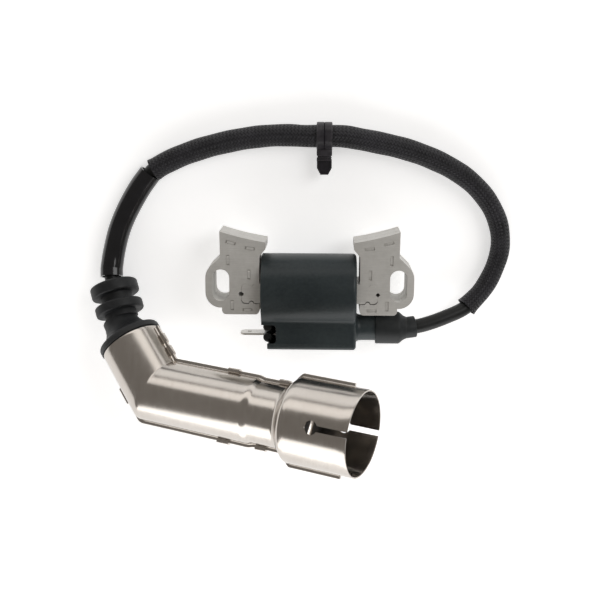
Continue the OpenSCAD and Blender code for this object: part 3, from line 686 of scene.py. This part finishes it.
def case_section(inset):
    """The outline, as (y, z) points, moved inwards by inset."""
    corner, back = max(1.5 - inset, 0.25), max(3.0 - inset, 0.4)
    y0, z0, z1, y1 = BOX_Y0 + inset, -CASE_BACK + inset, BOX_Z1 - inset, BACK_Y - inset
    r = CASE_R - inset
    low = -math.degrees(math.acos((y1 - BAR_Y) / r))
    high = 180 - math.degrees(math.asin((z1 - CASE_CZ) / r))
    meet = BAR_Y + r * math.cos(math.radians(high))
    leave = arc(BAR_Y, CASE_CZ, r, low, high - 5, 40)
    hollow = []
    for k in range(1, 7):
        t = k / 6
        a, b, c = Vector(leave[-1]), Vector((meet, z1)), Vector((meet - 1.1, z1))
        hollow.append(tuple(a * (1 - t) ** 2 + b * (2 * t * (1 - t)) + c * t * t))
    top = [(y, z1) for y in (NOTCH[1] + 0.02, NOTCH[1] - 0.02)]
    top += [(lerp(NOTCH[1] - 0.3, NOTCH[0] + 0.3, k / 12), z1) for k in range(13)]
    top += [(y, z1) for y in (NOTCH[0] + 0.02, NOTCH[0] - 0.02)]
    return [*arc(y0 + corner, z0 + corner, corner, 180, 270, 7),
            *arc(y1 - back, z0 + back, back, 270, 360, 8), *leave, *hollow, *top,
            *arc(y0 + corner, z1 - corner, corner, 90, 180, 7)]


FLUSH_Y = -15.6


def left_end(y, z):
    """Where the case ends on the left: the round body reaches furthest and the notch least."""
    if z > 11 and NOTCH[0] < y < NOTCH[1]:
        near = min(y - NOTCH[0], NOTCH[1] - y)
        round_r = 1.3
        return -12.5 - (round_r - math.sqrt(round_r ** 2 - max(round_r - near, 0) ** 2))
    return -15.8 if y < FLUSH_Y else CASE_X0


def case_ring(inset, step, from_left):
    """One ring of the case, step mm in from its left end or at its right end."""
    outer = case_section(0)
    ring = []
    for (y, z), (yo, zo) in zip(case_section(inset), outer):
        ring.append(((left_end(yo, zo) + step) if from_left else step, y, z))
    return ring


case = Shape()
rings = [[(-8.0, y, z) for _, y, z in case_ring(WALL, 0, True)]]
LIP = ((WALL, 0.35), (WALL - 0.1, 0.1), (WALL - 0.35, 0), (0.4, 0), (0.12, 0.12), (0, 0.4))
rings += [case_ring(inset, step, True) for inset, step in LIP]
END_R = 1.3
rings += [case_ring(END_R * (1 - math.cos(a)), CASE_X1 - END_R + END_R * math.sin(a), False)
          for a in [math.pi / 2 * k / 7 for k in range(8)]]
case.loft(rings)
TOWER = Vector((0, -17.8, 6.5))
TOWER_X1 = 31.7
lathe(case, TOWER, (1, 0, 0), [(16.5, 0), (16.5, 6.2), (17.45, 6.0), (17.9, 5.4), (18.6, 5.05), (19.6, 4.95),
                               (TOWER_X1 - 0.4, 4.9), (TOWER_X1, 4.5), (TOWER_X1, 2.9), (TOWER_X1 - 2, 2.9),
                               (TOWER_X1 - 2, 0)])
piece("case_moulding", case, FINISHES["case_plastic"], "coil", ("coil_case",), sharp=28)

# %% The rubber boot over the tower
boot = Shape()
lathe(boot, TOWER, (1, 0, 0), [
    (25, 4.95), (25, 5.85), (25.12, 6.08), (25.4, 6.15), (33.5, 6.15), (34.0, 6.05), (34.4, 5.75),
    (35.4, 4.9), (36.0, 4.5), (37.2, 4.0), (37.2, 2.8), (33, 2.8), (33, 4.95)], closed=True)
GRIP = Vector((36.7, -17.8, 6.5))
GRIP_TURN, GRIP_DIP = math.radians(7.3), math.radians(5.7)
GRIP_DIR = Matrix.Rotation(GRIP_TURN, 3, "Z") @ Matrix.Rotation(GRIP_DIP, 3, "Y") @ Vector((1, 0, 0))
lathe(boot, GRIP, GRIP_DIR, [(-2.2, 2.8), (-2.2, 3.8), (-1.9, 4.05), (-1.5, 4.1), (3.2, 4.1), (3.55, 4.0),
                             (3.7, 3.7), (3.7, 3.1), (3.4, 2.85)], closed=True)
boot_piece = piece("boot_moulding", boot, FINISHES["boot_rubber"], "coil", ("tower_boot",),
                   sharp=40)

# %% The stop terminal
TAB_Y, TAB_Z, TAB_T = -20.2, 6.2, 0.8
tab_outline = [(-26.4, -1.7), (-26.1, -2.2), (-25.1, -3.05), (-24.6, -3.15), (-11, -3.15), (-11, 3.15),
               (-24.6, 3.15), (-25.1, 3.05), (-26.1, 2.2), (-26.4, 1.7)]
tab = flat_mesh("stop_terminal", [tab_outline, arc(-23, 0, 0.9, 0, -337.5, 16)], TAB_T, 0.1)
tab.transform(Matrix.Translation((0, MM * TAB_Y, MM * TAB_Z)) @ Matrix.Rotation(math.radians(90), 4, "X"))
place(tab, "stop_blade", FINISHES["tinned_steel"], "coil", ("stop_terminal",))

# %% The resin's rounded edge round the blade
LOBE = [(0, 0), (0, 1.9), (14.4, 1.9), (14.9, 1.7), (15.1, 1.2), (15.1, 0)]
lobes = Shape()
for y in (-16.6, -20.6):
    lathe(lobes, (-15.6, y, -2), (0, 0, 1), LOBE, 32)
piece("resin_edge", lobes, FINISHES["potting_resin"], "coil", sharp=50)

# %% [markdown]
# ## The plug cap
# The shield is two pressed half shells whose rims meet in a flange, locked by tabs that fold over it. A half
# shell's section is a thin arch with a flat rim. It is carried along the elbow: down the collar leg, round
# the bend, and along the stepped socket tube. Each point of the section turns the corner at its own distance,
# with a small radius on the inner side and a larger one outside, which gives the crease that fades out.

# %% A half shell along the elbow
TUBE_R, NECK_R, SOCKET_R, SHEET = 11.85, 11.3, 15.4, 0.6
RIM = 1.3
MITRE = math.tan(math.radians((180 - COLLAR_DIR) / 2))
COLLAR_END, MOUTH = 21.7, 83.4


def shell_section(r, rim, inset=0.0, arcs=40):
    """Closed outline of a half shell as (offset in the bend plane, height), with its rim flat on height 0."""
    out, inn = r - inset, r - SHEET + inset
    rim = max(rim, 0.03)
    start = math.degrees(math.asin(min((SHEET + 0.35) / out, 1)))
    over = [(out * math.cos(math.radians(a)), out * math.sin(math.radians(a)))
            for a in [start + (180 - 2 * start) * k / arcs for k in range(arcs + 1)]]
    under = [(inn * math.cos(math.radians(a)), inn * math.sin(math.radians(a)))
             for a in [180 * (1 - k / arcs) for k in range(arcs + 1)]]
    foot = [(out + rim, 0.0), (out + rim, SHEET - 0.12), (out + rim - 0.12, SHEET),
            (out + min(0.25, rim), SHEET)]
    return foot + over + [(-q, z) for q, z in reversed(foot)] + under


def on_elbow(q, z, where, r):
    """A section point on the elbow. where is ("collar", t), ("bend", k from 0 to 1) or ("tube", x)."""
    kind, value = where
    bend_r = lerp(0.5, 4.0, smoothstep((1 - q / r) / 2))
    start = q * MITRE + bend_r * MITRE
    if kind == "collar":
        t = value if value > 17 else lerp(start, 17.0, value / 17)
        return from_cap(t * COLLAR_COS + q * COLLAR_SIN, t * COLLAR_SIN - q * COLLAR_COS, z)
    if kind == "tube":
        x = value if value > 17 else lerp(start, 17.0, value / 17)
        return from_cap(x, q, z)
    a = Vector((start * COLLAR_COS + q * COLLAR_SIN, start * COLLAR_SIN - q * COLLAR_COS))
    b, c = Vector((q * MITRE, q)), Vector((start, q))
    p = a * (1 - value) ** 2 + b * (2 * value * (1 - value)) + c * value ** 2
    return from_cap(p.x, p.y, z)


STATIONS = [("collar", COLLAR_END, TUBE_R, 0, 0.18), ("collar", COLLAR_END - 0.15, TUBE_R, 0, 0.04),
            ("collar", COLLAR_END - 0.5, TUBE_R, 0, 0), ("collar", 20.7, TUBE_R, 0, 0),
            ("collar", 20.6, TUBE_R, RIM, 0)]
STATIONS += [("collar", t, TUBE_R, RIM, 0) for t in (19, 17, 13, 9, 5, 2, 0)]
STATIONS += [("bend", k / 10, TUBE_R, RIM, 0) for k in range(1, 10)]
STATIONS += [("tube", x, TUBE_R, RIM, 0) for x in (0, 2, 5, 9, 13, 17, 23, 29, 35, 39.6)]
STATIONS += [("tube", 40.7 + 3.0 * k / 10, lerp(TUBE_R, NECK_R, smoothstep(k / 10)), RIM, 0)
             for k in range(11)]
STATIONS += [("tube", x, NECK_R, RIM, 0) for x in (45, 49, 53)]
STATIONS += [("tube", 53.6 + 4.8 * k / 9, lerp(NECK_R, SOCKET_R, smoothstep(k / 9)), RIM, 0)
             for k in range(10)]
STATIONS += [("tube", x, SOCKET_R, RIM, 0) for x in (60, 65, 70, 75, 77.7)]
STATIONS += [("tube", x, SOCKET_R, 0, 0) for x in (77.8, 80, 82.9)]
STATIONS += [("tube", MOUTH - 0.12, SOCKET_R, 0, 0.05), ("tube", MOUTH, SOCKET_R, 0, 0.2)]


def shell_half(side):
    """One half of the shield: side 1 faces out, -1 is its mirror."""
    shape = Shape()
    rings = []
    for kind, value, r, rim, inset in STATIONS:
        rings.append([on_elbow(q, side * z, (kind, value), r) for q, z in shell_section(r, rim, inset)])
    shape.loft(rings)
    return shape


TAB_PROFILE = [(-0.4, -0.72), (0.32, -0.72), (0.5, -0.62), (0.56, -0.4), (0.56, 0.85), (0.48, 1.08),
               (0.28, 1.18), (-1.0, 1.16), (-1.1, 1.05), (-1.1, 0.62), (0.04, 0.61), (0.04, -0.12),
               (-0.4, -0.12)]


def folded_tab(shape, x0, x1, edge, leg, side):
    """A tab bent round the rim: leg is "tube" or "collar", side which edge of the elbow."""
    rings = []
    for x, inset in ((x0, 0.06), (x0 + 0.1, 0), (x1 - 0.1, 0), (x1, 0.06)):
        ring = []
        for a, z in TAB_PROFILE:
            q = side * (edge + a - (inset if a > 0 else 0))
            if leg == "tube":
                ring.append(from_cap(x, q, z))
            else:
                ring.append(from_cap(x * COLLAR_COS + q * COLLAR_SIN, x * COLLAR_SIN - q * COLLAR_COS, z))
        rings.append(ring)
    shape.loft(rings)


SLIT_X, HOLE_R, SLIT_HALF = 70.2, 2.4, 1.0


def slit_cutter():
    """A keyhole-shaped prism through both halves: a hole with a slit to the mouth."""
    keyhole = arc(SLIT_X, 0, HOLE_R, 25, 335, 30) + [(MOUTH + 3, -SLIT_HALF), (MOUTH + 3, SLIT_HALF)]
    shape = Shape()
    shape.loft([[from_cap(x, y, z) for x, y in keyhole] for z in (-20, 20)])
    mesh = bpy.data.meshes.new("slit_cutter")
    mesh.from_pydata([[MM * c for c in p] for p in shape.points], [], shape.faces)
    finish_mesh(mesh, 30)
    cutter = bpy.data.objects.new("slit_cutter", mesh)
    bpy.context.scene.collection.objects.link(cutter)
    return cutter


def cut_slit(obj, cutter):
    """Cuts the keyhole and keeps a plain mesh."""
    cut = obj.modifiers.new("slit", "BOOLEAN")
    cut.operation, cut.object, cut.solver = "DIFFERENCE", cutter, "EXACT"
    mesh = bpy.data.meshes.new_from_object(obj.evaluated_get(bpy.context.evaluated_depsgraph_get()))
    obj.modifiers.clear()
    obj.data = mesh
    mesh.set_sharp_from_angle(angle=math.radians(30))


NICKEL = FINISHES["nickel_shield"]
front = piece("shell_front", shell_half(1), NICKEL, "plug_cap", ("shield_front",), sharp=30)
back = piece("shell_back", shell_half(-1), NICKEL, "plug_cap", ("shield_back",), sharp=30)
cutter = slit_cutter()
for half in (front, back):
    cut_slit(half, cutter)
bpy.data.objects.remove(cutter)
tabs = Shape()
EDGE, NECK_EDGE = TUBE_R + RIM, NECK_R + RIM
for x0, x1, edge, leg, side in ((28.3, 32.9, EDGE, "tube", 1), (49.3, 53.3, NECK_EDGE, "tube", 1),
                                (28.5, 33.3, EDGE, "tube", -1), (44.1, 48.4, NECK_EDGE, "tube", -1),
                                (7.4, 11.4, EDGE, "collar", 1), (13, 16.9, EDGE, "collar", 1),
                                (3.1, 9.8, EDGE, "collar", -1)):
    folded_tab(tabs, x0, x1, edge, leg, side)
tabs_piece = piece("shield_tabs", tabs, NICKEL, "plug_cap", sharp=50)

# %% [markdown]
# ## Rubber grommet, seal and clip
# Rubber mouldings are turned shapes with soft edges, so each is a lathe profile whose corners are rounded.

# %% The grommet on the cap
grommet = Shape()
collar_dir = from_cap(*on_collar(1)) - from_cap(0, 0)
lathe(grommet, from_cap(0, 0), collar_dir, [
    (18.2, 0), (18.2, 11.1), (22.0, 11.1), (22.0, 11.95), (22.15, 12.2), (23.8, 12.2), (24.3, 11.95),
    (24.6, 11.4), (25.2, 10.3), (26.2, 8.9), (27.6, 7.8), (29.0, 7.1), (31.0, 6.6), (33.0, 6.4), (33.0, 0)])
ring_dir = from_cap(math.cos(math.radians(119)), math.sin(math.radians(119))) - from_cap(0, 0)


def disc_profile(thick, r, hub):
    """A thick disc with rounded edges, from hub to hub."""
    edge = thick * 0.18
    rim = [(-thick / 2 + edge * (1 - math.cos(a)), r - edge + edge * math.sin(a))
           for a in [math.pi / 2 * k / 5 for k in range(6)]]
    return [(-thick / 2, hub), *rim, *[(-x, y) for x, y in reversed(rim)], (thick / 2, hub)]


for centre, thick in ((RING_1, 4.7), (RING_2, 3.7)):
    lathe(grommet, from_cap(*centre), ring_dir, disc_profile(thick, 9.2, 0.0))
lathe(grommet, from_cap(*RING_2), ring_dir, [(-4, 0), (-4, 6.3), (-1.5, 6.1), (2, 6.1), (6, 6.2), (6, 0)])
entry_dir = from_cap(*LEAD_ENTRY) - from_cap(*RING_1)
lathe(grommet, from_cap(*RING_1), entry_dir, [(0, 0), (0, 5.2), (2.0, 5.0), (2.9, 4.5), (3.2, 4.0), (3.2, 0)])
grommet_piece = piece("grommet_moulding", grommet, FINISHES["grommet_rubber"], "coil",
                      ("cap_grommet",), sharp=45)

# %% The plug seal
seal = Shape()
lathe(seal, from_cap(0, 0), TUBE_AXIS, [
    (46, 5.2), (46, 7.5), (55.1, 7.5), (55.4, 7.7), (55.4, 10.8), (56.0, 11.9), (57.0, 13.2), (57.5, 13.2),
    (57.8, 12.6),
    (57.8, 6.6), (57.4, 5.8), (56.6, 5.3), (54.2, 5.2), (53.6, 5.6), (53, 5.2)], closed=True)
seal_piece = piece("seal_moulding", seal, FINISHES["seal_rubber"], "plug_cap", ("plug_seal",))

# %% The cable clip
CLIP = Vector((5.1, 54.1, -0.6))
CLIP_HALF, BAND_IN, BAND_OUT = 2.95, 4.27, 5.35


def block(shape, lo, hi, r):
    """A box with rounded edges."""
    lo, hi = Vector(lo), Vector(hi)
    rings = []
    for x, inset in ((lo.x, r), (lo.x + r * 0.3, r * 0.3), (lo.x + r, 0),
                     (hi.x - r, 0), (hi.x - r * 0.3, r * 0.3), (hi.x, r)):
        a0, b0, a1, b1 = lo.y + inset, lo.z + inset, hi.y - inset, hi.z - inset
        ring = []
        for cy, cz, start in ((a0 + r, b0 + r, 180), (a1 - r, b0 + r, 270),
                              (a1 - r, b1 - r, 0), (a0 + r, b1 - r, 90)):
            ring += [CLIP + Vector((x, y, z)) for y, z in arc(cy, cz, r, start, start + 90, 5)]
        rings.append(ring)
    shape.loft(rings)


clip = Shape()
band = [(-CLIP_HALF + 0.2, BAND_IN), (-CLIP_HALF, BAND_IN + 0.2), (-CLIP_HALF, BAND_OUT - 0.3),
        (-CLIP_HALF + 0.3, BAND_OUT), (-0.22, BAND_OUT), (0, BAND_OUT - 0.25), (0.22, BAND_OUT),
        (CLIP_HALF - 0.3, BAND_OUT), (CLIP_HALF, BAND_OUT - 0.3), (CLIP_HALF, BAND_IN + 0.2),
        (CLIP_HALF - 0.2, BAND_IN)]
lathe(clip, CLIP, (1, 0, 0), band, closed=True)
block(clip, (-2.9, -7.3, -2.5), (2.9, -4.6, 2.1), 0.35)
block(clip, (-2.6, -9.2, -1.9), (2.6, -6.9, 1.5), 0.3)
for y in (-7.9, -8.8):
    block(clip, (-2.75, y - 0.16, 1.2), (2.75, y + 0.16, 1.75), 0.12)
block(clip, (-2.9, -9.3, -0.9), (-1.7, -8.0, 1.0), 0.25)
tail = [(-2.8, -8.6), (-2.8, -11.9), (-1.45, -14.4), (1.45, -14.4), (2.8, -11.9), (2.8, -8.6)]
inner = [(-2.2, -8.6), (-2.2, -11.7), (-1.1, -13.8), (1.1, -13.8), (2.2, -11.7), (2.2, -8.6)]
TAIL_LEVELS = ((tail, 1, -0.8), (tail, 1, 0.62), (tail, 0.95, 0.7), (inner, 1, 0.7), (inner, 1, 0.35))
tail_rings = [[CLIP + Vector((x * wide, y, z)) for x, y in edge] for edge, wide, z in TAIL_LEVELS]
clip.loft(tail_rings)
clip_piece = piece("clip_moulding", clip, FINISHES["clip_nylon"], "clip", ("cable_clip",))

# %% The cap's pieces, gathered in one list
cap_pieces = [front, back, tabs_piece, seal_piece]
cap_pieces += [frame["nodes"][n] for n in ("cap_insulator", "cord_screw", "suppressor_resistor",
                                           "contact_spring", "plug_terminal", "terminal_clip",
                                           "lead_conductor")]

# %% [markdown]
# ## Floor and light
# A pale table and broad soft lamps, low in front and behind. The surroundings are dim and brownish, because
# metal shows only what stands round it. The table glows a little, so that it stays pale under low lamps.

# %% Floor
floor_mesh = bpy.data.meshes.new("floor")
FLOOR_Z, FLOOR_HALF = -6.03 * MM, 3.0
corners = [(FLOOR_HALF * x, FLOOR_HALF * y, FLOOR_Z) for x, y in ((-1, -1), (1, -1), (1, 1), (-1, 1))]
floor_mesh.from_pydata(corners, [], [(0, 1, 2, 3)])
floor_mesh.materials.append(finish("pale_table", (0.90, 0.90, 0.90), (0.93, 0.93, 0.93), 0.8, 0.05,
                                   height=0.0, glow=0.5))
floor = bpy.data.objects.new("floor", floor_mesh)
bpy.context.scene.collection.objects.link(floor)


# %% Lights
def lamp(name, place_at, aim, size, power, colour=(1, 1, 1)):
    data = bpy.data.lights.new(name, "AREA")
    data.shape, data.size, data.size_y = "RECTANGLE", size[0], size[1]
    data.energy, data.color = power, colour
    obj = bpy.data.objects.new(name, data)
    obj.location = place_at
    obj.rotation_euler = (Vector(aim) - Vector(place_at)).to_track_quat("-Z", "Y").to_euler()
    bpy.context.scene.collection.objects.link(obj)


lamp("front_softbox", (-0.1, -1.15, 0.5), (0, 0, 0), (2.4, 1.0), 16)
lamp("right_softbox", (0.75, 0.5, 0.8), (0, 0, 0), (0.5, 0.9), 4.5)
lamp("back_softbox", (-0.2, 1.1, 0.4), (0, 0, 0), (2.0, 0.5), 3.5, (1.0, 0.98, 0.96))
world = bpy.data.worlds.new("studio")
world.use_nodes = True
world.node_tree.nodes["Background"].inputs["Color"].default_value = (0.62, 0.58, 0.54, 1)
world.node_tree.nodes["Background"].inputs["Strength"].default_value = 0.36
bpy.context.scene.world = world
bpy.context.scene.view_settings.view_transform = "Standard"
